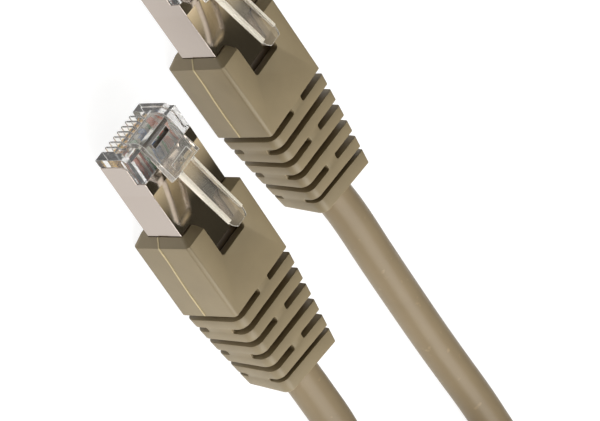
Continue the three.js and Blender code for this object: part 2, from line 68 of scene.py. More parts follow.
# The coil's numbers, as in the part's source, in the part's frame
COIL_CENTRE = (93.2, -17.8)
COIL_OUTER = 33
COIL_PITCH = 6.4
COIL_HEIGHT = 2.95
COIL_LAYER_STEP = 6.35
COIL_TURNS_PER_LAYER = 1.6
COIL_CROSSING = 0.5
COIL_TURNS = 2 * COIL_TURNS_PER_LAYER + COIL_CROSSING
COIL_END_ANGLE = 92
COIL_STEPS = 24

CORD_HEIGHT = 5.3
BOOT_REAR = 44.6
# The hollow in the boot's block that takes the plug's shell: its spans along X, Y and Z
SEAT = ((13, 21.55), (-5.85, 5.85), (2.5, 9.1))
RELIEF_SLOTS = 6

WIRE_PITCH = 1.016
WIRE_PITCH_IN_CORD = 0.56
WIRE_HEIGHT = 6.55
WIRE_RADIUS = 0.45
WIRE_COLOURS = {"orange": "#ee6a1c", "green": "#2c9a48", "blue": "#3a70bc", "brown": "#9a4522"}
# The wires from the first contact to the eighth, and whether each is white with a stripe
WIRES = (
    ("orange", True),
    ("orange", False),
    ("green", True),
    ("blue", False),
    ("blue", True),
    ("green", False),
    ("brown", True),
    ("brown", False),
)


# ------------------------------------------------------------------------------------- colours


def channel_to_linear(value):
    """One channel of an sRGB colour, from 0 to 1, as linear light."""
    return value / 12.92 if value <= 0.04045 else ((value + 0.055) / 1.055) ** 2.4


def linear(hex_colour):
    """A colour given as an sRGB hex string, as linear RGBA."""
    channels = [int(hex_colour[i : i + 2], 16) / 255 for i in (1, 3, 5)]
    return (*[channel_to_linear(value) for value in channels], 1.0)


def shade(colour, share):
    """A linear colour with its sRGB values cut to a share, or raised where the share is over 1."""
    values = []
    for value in colour[:3]:
        stored = value * 12.92 if value <= 0.0031308 else 1.055 * value ** (1 / 2.4) - 0.055
        values.append(channel_to_linear(min(1, stored * share)))
    return (*values, 1.0)


# ------------------------------------------------------------------------------------- materials
#
# Colours come in as linear RGBA. A noise node's scale counts its features in a metre, so 9000 makes
# one every 0.11 mm.


def add_node(tree, kind, settings=None, links=None):
    """A node with its settings, which are sockets or attributes, and the sockets that feed it."""
    node = tree.nodes.new(kind)
    for name, value in (settings or {}).items():
        if isinstance(name, int) or name in node.inputs:
            node.inputs[name].default_value = value
        else:
            setattr(node, name, value)
    for name, source in (links or {}).items():
        tree.links.new(source, node.inputs[name])
    return node


def edge_share(tree, width, start, end):
    """How near an edge a point is, from 0 on a flat face to 1 at the edge. Within the width of an
    edge the rounded normal leans away from the face's own. The share starts and ends at the given
    cosines of that lean."""
    rounded = add_node(tree, "ShaderNodeBevel", {"samples": 12, "Radius": width * MM})
    face = add_node(tree, "ShaderNodeNewGeometry")
    lean = add_node(
        tree,
        "ShaderNodeVectorMath",
        {"operation": "DOT_PRODUCT"},
        {0: rounded.outputs["Normal"], 1: face.outputs["Normal"]},
    )
    share = add_node(
        tree,
        "ShaderNodeMapRange",
        {"From Min": start, "From Max": end},
        {"Value": lean.outputs["Value"]},
    )
    return share.outputs[0]


def new_material(name):
    """A material, its tree, its shader, and the socket that gives a point's place on the piece."""
    material = bpy.data.materials.new(name)
    material.use_nodes = True
    tree = material.node_tree
    shader = tree.nodes["Principled BSDF"]
    place = add_node(tree, "ShaderNodeTexCoord").outputs["Object"]
    return material, tree, shader, place


def moulded_vinyl(name, colour):
    """Flexible PVC pressed in a spark-eroded mould: satin, with a fine even grain and faint cloudy
    patches of about 4.5 mm."""
    material, tree, shader, place = new_material(name)
    cloud = add_node(
        tree, "ShaderNodeTexNoise", {"Scale": 220.0, "Detail": 3.0}, {"Vector": place}
    )
    tint = add_node(
        tree,
        "ShaderNodeMix",
        {"data_type": "RGBA", "A": colour, "B": shade(colour, 0.88)},
        {"Factor": cloud.outputs["Fac"]},
    )
    # Painted shade: slots and corners, which see little of their surroundings, are painted darker
    # than the open faces.
    open_share = add_node(
        tree, "ShaderNodeAmbientOcclusion", {"Distance": 1.8 * MM, "samples": 8}
    )
    unshaded_share = add_node(
        tree, "ShaderNodeMapRange", {"From Max": 0.4}, {"Value": open_share.outputs["AO"]}
    )
    slot_painted_shade = add_node(
        tree,
        "ShaderNodeMix",
        {"data_type": "RGBA", "A": shade(colour, 0.25)},
        {"Factor": unshaded_share.outputs[0], "B": tint.outputs["Result"]},
    )
    # Painted highlight: sharp edges are painted paler, over about 0.15 mm.
    edge_painted_highlight = add_node(
        tree,
        "ShaderNodeMix",
        {"data_type": "RGBA", "B": shade(colour, 1.35)},
        {"Factor": edge_share(tree, 0.15, 0.97, 0.7), "A": slot_painted_shade.outputs["Result"]},
    )
    tree.links.new(edge_painted_highlight.outputs["Result"], shader.inputs["Base Color"])
    # Grain of about 0.11 mm, coarser than the real mould's so that it still shows.
    pits = add_node(
        tree, "ShaderNodeTexNoise", {"Scale": 9000.0, "Detail": 2.0}, {"Vector": place}
    )
    bump = add_node(
        tree,
        "ShaderNodeBump",
        {"Strength": 0.35, "Distance": 0.02 * MM},
        {"Height": pits.outputs["Fac"]},
    )
    tree.links.new(bump.outputs["Normal"], shader.inputs["Normal"])
    shader.inputs["Roughness"].default_value = 0.5
    shader.inputs["Specular IOR Level"].default_value = 0.35
    shader.inputs["IOR"].default_value = 1.5
    return material


def extruded_vinyl(name, colour):
    """PVC jacket drawn through a die: smoother than the boots, with slow lumps of about 6 mm where
    the pairs lie under it."""
    material, tree, shader, place = new_material(name)
    lumps = add_node(
        tree, "ShaderNodeTexNoise", {"Scale": 160.0, "Detail": 2.0}, {"Vector": place}
    )
    tint = add_node(
        tree,
        "ShaderNodeMix",
        {"data_type": "RGBA", "A": shade(colour, 1.03), "B": shade(colour, 0.93)},
        {"Factor": lumps.outputs["Fac"]},
    )
    # Pale scuffs of up to a millimetre, few and faint, from being pulled over edges.
    rubbed = add_node(
        tree, "ShaderNodeTexNoise", {"Scale": 650.0, "Detail": 3.0}, {"Vector": place}
    )
    scuffs = add_node(
        tree,
        "ShaderNodeMapRange",
        {"From Min": 0.66, "From Max": 0.78, "To Max": 0.6},
        {"Value": rubbed.outputs["Fac"]},
    )
    marked = add_node(
        tree,
        "ShaderNodeMix",
        {"data_type": "RGBA", "B": shade(colour, 1.2)},
        {"Factor": scuffs.outputs[0], "A": tint.outputs["Result"]},
    )
    low = add_node(
        tree,
        "ShaderNodeBump",
        {"Strength": 0.35, "Distance": 0.4 * MM},
        {"Height": lumps.outputs["Fac"]},
    )
    fine = add_node(
        tree, "ShaderNodeTexNoise", {"Scale": 5000.0, "Detail": 2.0}, {"Vector": place}
    )
    bump = add_node(
        tree,
        "ShaderNodeBump",
        {"Strength": 0.1, "Distance": 0.02 * MM},
        {"Height": fine.outputs["Fac"], "Normal": low.outputs["Normal"]},
    )
    tree.links.new(marked.outputs["Result"], shader.inputs["Base Color"])
    tree.links.new(bump.outputs["Normal"], shader.inputs["Normal"])
    shader.inputs["Roughness"].default_value = 0.36
    shader.inputs["Specular IOR Level"].default_value = 0.16
    shader.inputs["IOR"].default_value = 1.5
    return material


def clear_polycarbonate(name, colour, haze, edge_width, ior):
    """Injection-moulded polycarbonate: clear, with edges painted pale as a painted highlight, and
    faint flow lines that bend what shows through it. Its index is matched to the look of the real
    plug, well under the plastic's 1.585, at which total reflection hides what lies in these solid
    shapes."""
    material, tree, shader, place = new_material(name)
    flow = add_node(tree, "ShaderNodeTexNoise", {"Scale": 350.0, "Detail": 1.0}, {"Vector": place})
    bump = add_node(
        tree,
        "ShaderNodeBump",
        {"Strength": 0.12, "Distance": 0.2 * MM},
        {"Height": flow.outputs["Fac"]},
    )
    tree.links.new(bump.outputs["Normal"], shader.inputs["Normal"])
    # Painted highlight: the edges are made less clear, so that they show pale.
    clearness_and_edge_highlight = add_node(
        tree,
        "ShaderNodeMapRange",
        {"To Min": 1 - haze, "To Max": 0.15},
        {"Value": edge_share(tree, edge_width, 0.98, 0.8)},
    )
    tree.links.new(clearness_and_edge_highlight.outputs[0], shader.inputs["Transmission Weight"])
    shader.inputs["Base Color"].default_value = colour
    shader.inputs["Roughness"].default_value = 0.02
    shader.inputs["IOR"].default_value = ior
    return material


def painted_light_polycarbonate(name, colour):
    """Polycarbonate that lets little light through and scatters the rest: made pale, it is a
    painted highlight on the latch's edges; made dark, it is painted shade in the latch's window.
    """
    material, tree, shader, place = new_material(name)
    grain = add_node(
        tree, "ShaderNodeTexNoise", {"Scale": 4000.0, "Detail": 2.0}, {"Vector": place}
    )
    rough = add_node(
        tree,
        "ShaderNodeMapRange",
        {"To Min": 0.2, "To Max": 0.4},
        {"Value": grain.outputs["Fac"]},
    )
    tree.links.new(rough.outputs[0], shader.inputs["Roughness"])
    shader.inputs["Base Color"].default_value = colour
    shader.inputs["IOR"].default_value = 1.4
    shader.inputs["Transmission Weight"].default_value = 0.2
    return material


def nickel_plate(name, front):
    """Steel sheet with bright nickel plate: near mirror, faintly warm, with fine lines from
    rolling. Towards its front edge, whose X is given in metres, the sheet dips a little, which
    bends the reflections there."""
    dip_length, dip_depth = 5.8 * MM, 0.46 * MM
    material, tree, shader, place = new_material(name)
    # The lines are 0.4 mm apart and run along the plug.
    stretch = add_node(
        tree, "ShaderNodeMapping", {"Scale": (60.0, 2500.0, 2500.0)}, {"Vector": place}
    )
    lines = add_node(
        tree, "ShaderNodeTexNoise", {"Scale": 1.0, "Detail": 2.0}, {"Vector": stretch.outputs[0]}
    )
    rough = add_node(
        tree,
        "ShaderNodeMapRange",
        {"To Min": 0.1, "To Max": 0.13},
        {"Value": lines.outputs["Fac"]},
    )
    tree.links.new(rough.outputs[0], shader.inputs["Roughness"])
    # The sheet is slightly bowed where it was folded.
    bow = add_node(tree, "ShaderNodeTexNoise", {"Scale": 90.0, "Detail": 0.0}, {"Vector": place})
    uneven = add_node(
        tree,
        "ShaderNodeBump",
        {"Strength": 0.3, "Distance": 1 * MM},
        {"Height": bow.outputs["Fac"]},
    )
    along = add_node(tree, "ShaderNodeSeparateXYZ", {}, {"Vector": place})
    near = add_node(
        tree,
        "ShaderNodeMapRange",
        {"From Min": front, "From Max": front + dip_length, "To Min": 1.0, "To Max": 0.0},
        {"Value": along.outputs["X"]},
    )
    dip = add_node(tree, "ShaderNodeMath", {"operation": "POWER", 1: 2.0}, {0: near.outputs[0]})
    bump = add_node(
        tree,
        "ShaderNodeBump",
        {"invert": True, "Strength": 1.0, "Distance": dip_depth},
        {"Height": dip.outputs[0], "Normal": uneven.outputs["Normal"]},
    )
    tree.links.new(bump.outputs["Normal"], shader.inputs["Normal"])
    shader.inputs["Base Color"].default_value = linear("#b9aea5")
    shader.inputs["Metallic"].default_value = 1.0
    return material


def gold_plate(name):
    """Hard gold over nickel on stamped bronze: satin yellow metal, unevenly worn."""
    material, tree, shader, place = new_material(name)
    wear = add_node(
        tree, "ShaderNodeTexNoise", {"Scale": 3000.0, "Detail": 2.0}, {"Vector": place}
    )
    rough = add_node(
        tree,
        "ShaderNodeMapRange",
        {"To Min": 0.18, "To Max": 0.34},
        {"Value": wear.outputs["Fac"]},
    )
    tree.links.new(rough.outputs[0], shader.inputs["Roughness"])
    shader.inputs["Base Color"].default_value = linear("#dfb765")
    shader.inputs["Metallic"].default_value = 1.0
    return material


def insulation(name, colour):
    """Thin polyethylene sleeve on a wire: slightly waxy, nearly even colour."""
    material, tree, shader, place = new_material(name)
    cloud = add_node(
        tree, "ShaderNodeTexNoise", {"Scale": 900.0, "Detail": 2.0}, {"Vector": place}
    )
    tint = add_node(
        tree,
        "ShaderNodeMix",
        {"data_type": "RGBA", "A": colour, "B": shade(colour, 0.9)},
        {"Factor": cloud.outputs["Fac"]},
    )
    tree.links.new(tint.outputs["Result"], shader.inputs["Base Color"])
    shader.inputs["Roughness"].default_value = 0.4
    shader.inputs["Subsurface Weight"].default_value = 0.1
    shader.inputs["Subsurface Radius"].default_value = (0.3 * MM, 0.3 * MM, 0.3 * MM)
    return material


def tinned_braid(name):
    """Screen woven from fine tinned copper wires and folded back over the jacket."""
    material, tree, shader, place = new_material(name)
    weave = add_node(
        tree,
        "ShaderNodeTexWave",
        {"Scale": 900.0, "Distortion": 2.0, "bands_direction": "DIAGONAL"},
        {"Vector": place},
    )
    bump = add_node(
        tree,
        "ShaderNodeBump",
        {"Strength": 0.8, "Distance": 0.1 * MM},
        {"Height": weave.outputs["Fac"]},
    )
    tree.links.new(bump.outputs["Normal"], shader.inputs["Normal"])
    shader.inputs["Base Color"].default_value = linear("#b9b4aa")
    shader.inputs["Metallic"].default_value = 1.0
    shader.inputs["Roughness"].default_value = 0.35
    return material


# ------------------------------------------------------------------------------------- modelling


def deselect():
    bpy.ops.object.select_all(action="DESELECT")


def make_active(piece):
    deselect()
    piece.select_set(True)
    bpy.context.view_layer.objects.active = piece


def name_and_settle(name):
    """Names the primitive just added and moves its place, turn and size into its mesh."""
    piece = bpy.context.object
    piece.name = name
    make_active(piece)
    bpy.ops.object.transform_apply(location=True, rotation=True, scale=True)
    return piece


def block(name, *spans):
    """A cube stretched over its spans along X, Y and Z."""
    deselect()
    middle = [(low + high) / 2 * MM for low, high in spans]
    size = [(high - low) * MM for low, high in spans]
    bpy.ops.mesh.primitive_cube_add(size=1, location=middle, scale=size)
    return name_and_settle(name)


def bar(name, radius, span, height, sides):
    """A cylinder along X at a height."""
    deselect()
    bpy.ops.mesh.primitive_cylinder_add(
        vertices=sides,
        radius=radius * MM,
        depth=(span[1] - span[0]) * MM,
        location=((span[0] + span[1]) / 2 * MM, 0, height * MM),
        rotation=(0, math.pi / 2, 0),
    )
    return name_and_settle(name)


def outline(name, points, span, axis):
    """An n-gon through the points, extruded over a span of one axis, which the points skip."""
    deselect()
    bpy.ops.mesh.primitive_circle_add(vertices=len(points), radius=1, fill_type="NGON")
    piece = bpy.context.object
    piece.name = name
    index = "XYZ".index(axis)
    for vertex, point in zip(piece.data.vertices, points):
        place = list(point)
        place.insert(index, span[0])
        vertex.co = [value * MM for value in place]
    bpy.ops.object.mode_set(mode="EDIT")
    bpy.ops.mesh.select_all(action="SELECT")
    travel = [0.0, 0.0, 0.0]
    travel[index] = (span[1] - span[0]) * MM
    bpy.ops.mesh.extrude_region_move(TRANSFORM_OT_translate={"value": travel})
    bpy.ops.mesh.select_all(action="SELECT")
    bpy.ops.mesh.normals_make_consistent(inside=False)
    bpy.ops.object.mode_set(mode="OBJECT")
    return piece


def arc(x, y, radius, start, end, steps):
    """Points on an arc, from one angle in degrees to another."""
    angles = [math.radians(start + (end - start) * i / steps) for i in range(steps + 1)]
    return [(x + radius * math.cos(a), y + radius * math.sin(a)) for a in angles]


def bevel_edges(piece, test, offset, segments):
    """Bevels the edges both of whose ends pass the test, which is given a place."""
    make_active(piece)
    bpy.ops.object.mode_set(mode="EDIT")
    bpy.ops.mesh.select_mode(type="EDGE")
    mesh = bmesh.from_edit_mesh(piece.data)
    for element in (*mesh.faces, *mesh.edges, *mesh.verts):
        element.select = False
    for edge in mesh.edges:
        if all(test(vertex.co / MM) for vertex in edge.verts):
            edge.select = True
    mesh.select_flush_mode()
    bmesh.update_edit_mesh(piece.data)
    bpy.ops.mesh.bevel(offset=offset * MM, segments=segments, affect="EDGES")
    bpy.ops.object.mode_set(mode="OBJECT")


def round_long_edges(piece, middle, past, radii, segments):
    """Rounds the four edges along X that lie past the given distances, sideways and up or down,
    from the middle's height. The radii are for the upper edges at -Y and +Y, then the lower."""
    for (y, z), radius in zip(((-1, 1), (1, 1), (-1, -1), (1, -1)), radii):
        bevel_edges(
            piece,
            lambda co, y=y, z=z: co.y * y > past[0] and (co.z - middle) * z > past[1],
            radius,
            segments,
        )


def apply_modifier(piece, kind, **settings):
    """Adds a modifier and applies it."""
    make_active(piece)
    modifier = piece.modifiers.new(kind.lower(), kind)
    for name, value in settings.items():
        setattr(modifier, name, value)
    bpy.ops.object.modifier_apply(modifier=modifier.name)


def combine(piece, other, operation="DIFFERENCE"):
    """Cuts the other solid away from the piece, or adds it, and uses the other one up."""
    apply_modifier(piece, "BOOLEAN", object=other, operation=operation, solver="EXACT")
    if not piece.data.polygons:
        raise RuntimeError(f"nothing is left of {piece.name} after {other.name}")
    bpy.data.objects.remove(other)


def smooth(piece, degrees=35):
    """Shades the piece smooth, but for edges sharper than the angle."""
    make_active(piece)
    bpy.ops.object.shade_smooth_by_angle(angle=math.radians(degrees))


def soften(piece, width, degrees, segments=2):
    """Rounds the piece's edges that are sharper than the angle."""
    apply_modifier(piece, "WELD", merge_threshold=0.002 * MM)
    apply_modifier(
        piece,
        "BEVEL",
        width=width * MM,
        segments=segments,
        limit_method="ANGLE",
        angle_limit=math.radians(degrees),
    )
    smooth(piece)


def round_curve(name, points, radius, sides, steps):
    """A smooth round tube through points in millimetres, as a curve object."""
    curve = bpy.data.curves.new(name, "CURVE")
    curve.dimensions = "3D"
    curve.bevel_depth = radius
    curve.bevel_resolution = sides
    curve.resolution_u = steps
    curve.use_fill_caps = True
    spline = curve.splines.new("BEZIER")
    spline.bezier_points.add(len(points) - 1)
    for knot, point in zip(spline.bezier_points, points):
        knot.co = Vector(point) * MM
        knot.handle_left_type = knot.handle_right_type = "AUTO"
    tube = bpy.data.objects.new(name, curve)
    bpy.context.scene.collection.objects.link(tube)
    return tube


def dress(piece, material, body, replaced):
    """Gives a finished piece its material and the body that it moves with, and hides the solids
    that it stands for."""
    piece.data.materials.clear()
    piece.data.materials.append(material)
    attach(piece, body)
    if replaced:
        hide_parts(*replaced)


def paint_faces(piece, matrix, material, test):
    """Gives a further material to the faces that pass the test, which is given each face's centre
    and normal in the plug's frame."""
    piece.data.materials.append(material)
    back = matrix.inverted()
    for face in piece.data.polygons:
        if test(back @ face.center / MM, back.to_3x3() @ face.normal):
            face.material_index = len(piece.data.materials) - 1


def place_at_plugs(model, name, material, body, node):
    """Copies a model from the plug's frame to both plugs, each copy with its own mesh, and gives
    the copies with their plugs' matrices."""
    copies = []
    for end, matrix in PLUGS.items():
        piece = model.copy()
        piece.data = model.data.copy()
        piece.name = f"{name}_{end}"
        bpy.context.scene.collection.objects.link(piece)
        piece.data.transform(matrix)
        dress(piece, material, body.format(end), [node.format(end)] if node else ())
        copies.append((piece, matrix))
    bpy.data.objects.remove(model)
    return copies


def dress_solid(node, material, edge):
    """A solid whose shape is right keeps it, gets its material and has its edges rounded."""
    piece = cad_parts[node]
    piece.data.materials.clear()
    piece.data.materials.append(material)
    weld = piece.modifiers.new("weld", "WELD")
    weld.merge_threshold = 0.002 * MM
    flat = piece.modifiers.new("flat", "DECIMATE")
    flat.decimate_type = "DISSOLVE"
    flat.angle_limit = math.radians(1)
    rounding = piece.modifiers.new("rounding", "BEVEL")
    rounding.width = edge * MM
    rounding.segments = 2
    rounding.limit_method = "ANGLE"
    rounding.angle_limit = math.radians(30)
    rounding.harden_normals = True


# ------------------------------------------------------------------------------------- properties


class PatchCableSettings(bpy.types.PropertyGroup):
    cord_diameter: FloatProperty(
        name="Cord diameter", description="Over the jacket", default=0.0058, unit="LENGTH"
    )
    cord_length: FloatProperty(
        name="Cord length", description="Between the two boots", default=0.752, unit="LENGTH"
    )
    boot_width: FloatProperty(
        name="Boot width", description="Across the boot's block", default=0.0141, unit="LENGTH"
    )
    boot_height: FloatProperty(
        name="Boot height", description="Of the boot's block", default=0.011, unit="LENGTH"
    )
    boot_colour: FloatVectorProperty(
        name="Boot colour",
        description="Moulded vinyl of the boots",
        default=linear("#948568")[:3],
        subtype="COLOR",
        min=0,
        max=1,
    )
    jacket_colour: FloatVectorProperty(
        name="Jacket colour",
        description="Vinyl jacket of the cord",
        default=linear("#908066")[:3],
        subtype="COLOR",
        min=0,
        max=1,
    )


# ------------------------------------------------------------------------------------- operators


class PATCHCABLE_OT_camera(bpy.types.Operator):
    """Adds the camera, looking down on the plugs from in front of their noses"""

    bl_idname = "patchcable.camera"
    bl_label = "Camera"

    def execute(self, context):
        bpy.ops.object.camera_add()
        camera = context.object
        # Its place, in metres, and its axes, in the part's frame
        place = (-0.219959, -0.234076, 0.326506)
        right = Vector((0.47993, 0.49768, 0.72248))
        up = Vector((-0.71653, 0.69754, -0.00452))
        turn = Matrix((right, up, right.cross(up))).transposed().to_4x4()
        camera.matrix_world = Matrix.Translation(place) @ turn
        camera.data.sensor_width = 36
        camera.data.lens = 196.54
        camera.data.clip_start = 0.01
        context.scene.camera = camera
        return {"FINISHED"}


def coil_point(turns):
    """A point of the coil's centre line, so many turns along it and in the part's frame: in on the
    upper layer, down a layer at the crossing, and out again."""
    past = turns - COIL_TURNS_PER_LAYER
    radius = COIL_OUTER - COIL_PITCH * turns
    if past > COIL_CROSSING:
        radius = COIL_OUTER - COIL_PITCH * (COIL_TURNS_PER_LAYER - past + COIL_CROSSING)
    elif past > 0:
        wave = math.sin(2 * math.pi * past) / (2 * math.pi)
        radius = COIL_OUTER - COIL_PITCH * (COIL_TURNS_PER_LAYER + wave)
    share = min(1, max(0, past / COIL_CROSSING))
    drop = COIL_LAYER_STEP * share * share * (3 - 2 * share)
    angle = math.radians(COIL_END_ANGLE) + 2 * math.pi * (turns - COIL_TURNS)
    return Vector(
        (
            COIL_CENTRE[0] + radius * math.cos(angle),
            COIL_CENTRE[1] + radius * math.sin(angle),
            COIL_HEIGHT + COIL_LAYER_STEP - drop,
        )
    )


def coil_lead(turns, distance):
    """A point so far straight on from where the coil's line starts or ends."""
    nudge = 0.001
    last = coil_point(turns)
    inside = coil_point(abs(turns - nudge))
    return last + distance * (last - inside).normalized()


def cord_exit(end, out):
    """A point on the cord's axis, so far out from the boot's rear, in the part's frame."""
    return PLUGS[end] @ Vector(((BOOT_REAR + out) * MM, 0, CORD_HEIGHT * MM)) / MM


def cord_route():
    """The whole cord from boot to boot in the part's frame: chosen points, the coil's loops and
    chosen points again."""
    steps = round(COIL_TURNS * COIL_STEPS)
    coil = [coil_point(COIL_TURNS * i / steps) for i in range(steps + 1)]
    inside_boot, straight, near_lead, far_lead = -1.5, 2, 4, 9.3
    first = [
        cord_exit("a", inside_boot),
        cord_exit("a", straight),
        (36, -10.9, 5.8),
        (43.6, -11.05, 5.9),
        (50, -12.6, 6.7),
        (55.6, -16.4, 8.2),
        coil_lead(0, far_lead),
        coil_lead(0, near_lead),
    ]
    last = [
        coil_lead(COIL_TURNS, near_lead),
        coil_lead(COIL_TURNS, far_lead),
        (74, 14.95, 3),
        (64, 14.9, 3),
        (57, 14.5, 3.1),
        (50, 14, 3.4),
        (40, 13.2, 4.2),
        (31, 12.35, 5.2),
        (22, 11.9, 5.75),
        cord_exit("b", straight),
        cord_exit("b", inside_boot),
    ]
    return first + coil + last


class PATCHCABLE_OT_cord(bpy.types.Operator):
    """Lays the cord as one smooth tube from one boot through the coil to the other boot"""

    bl_idname = "patchcable.cord"
    bl_label = "Cord"

    def execute(self, context):
        settings = context.scene.patch_cable
        cord = round_curve("cord", cord_route(), settings.cord_diameter / 2, sides=10, steps=5)
        dress(
            cord,
            extruded_vinyl("extruded_vinyl_jacket", (*settings.jacket_colour, 1.0)),
            "cable",
            ["cord_a", "cord_coil", "cord_b"],
        )
        return {"FINISHED"}


def relief_slot(number):
    """Two cutters for one slot of the strain relief, in the relief's own frame: odd slots leave
    bridges at the sides, even ones above and below. The slots end in round corners."""
    pitch, corner = 2.68, 0.34
    width = 0.72 if number == RELIEF_SLOTS - 1 else 1.06
    span = (number * pitch, number * pitch + width)
    core_y, core_z, far = 4.1, 3.8, 12
    cutters = []
    for side in (1, -1):
        if number % 2:
            end, axis = 2.4, 2
            points = [
                (-far, far * side),
                (far, far * side),
                (far, end * side),
                (core_y, end * side),
                (core_y, core_z * side),
                (-core_y, core_z * side),
                (-core_y, end * side),
                (-far, end * side),
            ]
        else:
            end, axis = 1.2, 1
            points = [
                (far * side, far),
                (far * side, -far),
                (end * side, -far),
                (end * side, -core_z),
                (core_y * side, -core_z),
                (core_y * side, core_z),
                (end * side, core_z),
                (end * side, far),
            ]
        cutter = outline("slot_cutter", points, span, "X")
        for wall in span:
            bevel_edges(
                cutter,
                lambda co, x=wall: abs(co.x - x) < NEAR and abs(co[axis] * side - end) < NEAR,
                corner,
                4,
            )
        cutters.append(cutter)
    return cutters


def strain_relief():
    """The slotted, tapered and slightly twisted rear of the boot, made straight and deformed."""
    length, half_width, half_height = 16.23, 7.0, 5.35
    rear_half_width, rear_half_height = 5.3, 5.07
    twist = math.radians(9)
    front, middle = 28.36, 5.12
    relief = block("relief", (0, length), (-half_width, half_width), (-half_height, half_height))
    corners = (half_width - NEAR, half_height - NEAR)
    round_long_edges(relief, 0, corners, (1.6, 0.5, 1.4, 0.8), 6)
    for number in range(RELIEF_SLOTS):
        for cutter in relief_slot(number):
            combine(relief, cutter)
    soften(relief, 0.12, 50)
    for share, other in (
        (rear_half_width / half_width, "lock_z"),
        (rear_half_height / half_height, "lock_y"),
    ):
        apply_modifier(
            relief,
            "SIMPLE_DEFORM",
            deform_method="TAPER",
            deform_axis="X",
            factor=share - 1,
            **{other: True},
        )
    apply_modifier(relief, "SIMPLE_DEFORM", deform_method="TWIST", deform_axis="X", angle=twist)
    relief.data.transform(Matrix.Translation((front * MM, 0, middle * MM)))
    return relief


def boot_block(settings, grow=0.0):
    """The block over the plug's rear, with a sloping front edge, or a copy grown all round."""
    half, height = settings.boot_width / 2 / MM, settings.boot_height / MM
    front, rear, middle = 14.13, 28.4, 5.0
    rear_half, slope = 6.93, 1.12
    piece = block(
        "block", (front, rear), (-half, half), (middle - height / 2, middle + height / 2)
    )
    for vertex in piece.data.vertices:
        if vertex.co.x > (front + rear) / 2 * MM:
            vertex.co.y *= rear_half / half
    bevel_edges(piece, lambda co: co.x < front + NEAR, slope, 1)
    round_long_edges(piece, middle, (5.8, 4), (0.5, 0.35, 0.8, 0.6), 4)
    if grow:
        centre = Vector(((front + rear) / 2, 0, middle)) * MM
        size = Matrix.Diagonal((1, 1 + grow / half, 1 + 2 * grow / height, 1))
        piece.data.transform(Matrix.Translation(centre) @ size @ Matrix.Translation(-centre))
    return piece


class PATCHCABLE_OT_boots(bpy.types.Operator):
    """Models the moulded boot with its notch, parting line and strain relief, and fits one to each
    plug"""

    bl_idname = "patchcable.boots"
    bl_label = "Boots"

    def execute(self, context):
        settings = context.scene.patch_cable
        boot = boot_block(settings)
        # The mould's halves meet along this line, where a thin flash stands proud.
        line = [(13.9, 4.5), (15.3, 4.8), (18, 4.78), (21, 4.55), (24, 4.42), (28.3, 4.45)]
        half_line = 0.1
        upper = [(x, z + half_line) for x, z in line]
        lower = [(x, z - half_line) for x, z in reversed(line)]
        band = outline("parting_line", upper + lower, (-9, 9), "Y")
        combine(band, boot_block(settings, grow=0.1), "INTERSECT")
        combine(band, boot_block(settings))
        # The notch over the latch's tail widens to the front and has rounded rear corners.
        notch = outline(
            "notch",
            [(13, -3.9), (13.9, -3.55), (14.5, -3.2), (15.1, -3.02), (16, -2.97)]
            + arc(20.1, -2.47, 0.5, -90, 0, 5)
            + arc(20.1, 2.47, 0.5, 0, 90, 5)
            + [(16, 2.97), (15.1, 3.02), (14.5, 3.2), (13.9, 3.55), (13, 3.9)],
            (8.05, 12),
            "Z",
        )
        combine(boot, notch)
        combine(boot, block("seat", *SEAT))
        combine(band, block("seat", *SEAT))
        soften(boot, 0.1, 50)
        combine(boot, strain_relief(), "UNION")
        combine(boot, bar("ferrule_bore", 3.6, (21, 27.45), CORD_HEIGHT, 48))
        combine(boot, bar("cord_bore", 2.95, (21, 46), CORD_HEIGHT, 64))
        smooth(boot)
        vinyl = moulded_vinyl("moulded_vinyl_boot", (*settings.boot_colour, 1.0))
        place_at_plugs(boot, "boot_shell", vinyl, "cable", "boot_{}")
        flash = extruded_vinyl("moulded_vinyl_flash", linear("#d0c097"))
        place_at_plugs(band, "parting_line", flash, "cable", None)
        return {"FINISHED"}


class PATCHCABLE_OT_plugs(bpy.types.Operator):
    """Finishes the clear bodies, the shells, the contacts and the pieces inside the plugs"""

    bl_idname = "patchcable.plugs"
    bl_label = "Plugs"

    def execute(self, context):
        shell_front = Vector((6.5 * MM, 0, 0))
        clear = clear_polycarbonate(
            "clear_polycarbonate_body", linear("#fdfcfa"), haze=0.07, edge_width=0.2, ior=1.25
        )
        gold = gold_plate("hard_gold_plate")
        braid = tinned_braid("tinned_copper_braid")
        for end, matrix in PLUGS.items():
            nickel = nickel_plate(f"bright_nickel_plate_{end}", (matrix @ shell_front).x)
            dress_solid(f"plug_housing_{end}", clear, 0.06)
            dress_solid(f"shield_shell_{end}", nickel, 0.12)
            dress_solid(f"load_bar_{end}", clear, 0.04)
            dress_solid(f"folded_braid_{end}", braid, 0.05)
            for way in range(1, 9):
                dress_solid(f"contact_{way}_{end}", gold, 0.03)
        return {"FINISHED"}


def on_latch_tail(place, normal):
    return place.x > 6.7


def on_latch_edges(place, normal):
    """The ribs of the tail, the sides of the root and the ends of its shoulders, which get a
    painted highlight.
    """
    ribs = 6.7 < place.x < 15 and (place.y < -1.2 or place.y > 1.4)
    sides = place.x > 2 and abs(place.y) > 2.85 and abs(normal.y) > 0.4
    shoulders = place.x > 5.8 and abs(place.y) > 1.72 and normal.x > 0.2
    return ribs or sides or shoulders


def on_latch_window(place, normal):
    """The walls of the window in the ramp, which get painted shade."""
    return 0.6 < place.x < 1.62 and abs(place.y) < 1.95 and place.z > 8.9 and normal.z < 0.6


